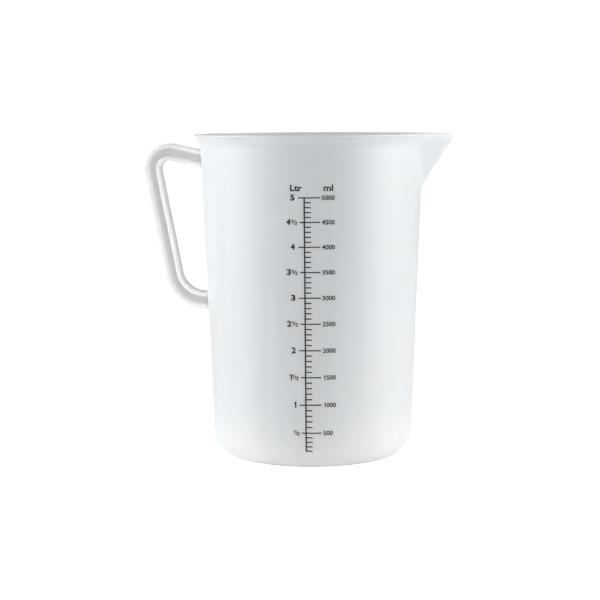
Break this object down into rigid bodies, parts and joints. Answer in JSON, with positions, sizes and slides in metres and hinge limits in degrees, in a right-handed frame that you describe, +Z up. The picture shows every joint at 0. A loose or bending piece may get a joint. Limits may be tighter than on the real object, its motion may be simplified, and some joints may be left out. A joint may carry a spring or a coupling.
{
  "type": "measuring jug",
  "caption": "Tapered translucent plastic measuring jug with a flared rim, a V-shaped pouring spout, a closed H-section handle and a printed volume scale.",
  "frame": {"origin": "bottom centre of the whole jug's bounding box, in the plane that the foot ring stands on; the vessel's own axis is parallel to Z, 10.7 mm towards +X", "axes": "+Z up along the vessel, +X towards the spout, -X towards the handle, -Y towards the printed scale"},
  "size_m": [0.2619, 0.1984, 0.2737],
  "materials": {
    "polypropylene": "natural milky translucent, softly satin",
    "ink": "matt black screen ink"
  },
  "bodies": {
    "root": {"base_dish": "polypropylene", "side_wall": "polypropylene", "rim_lip": "polypropylene", "pour_spout": "polypropylene", "handle_outer_flange": "polypropylene", "handle_web": "polypropylene", "handle_inner_flange": "polypropylene", "volume_scale": "ink"}
  },
  "joints": []
}
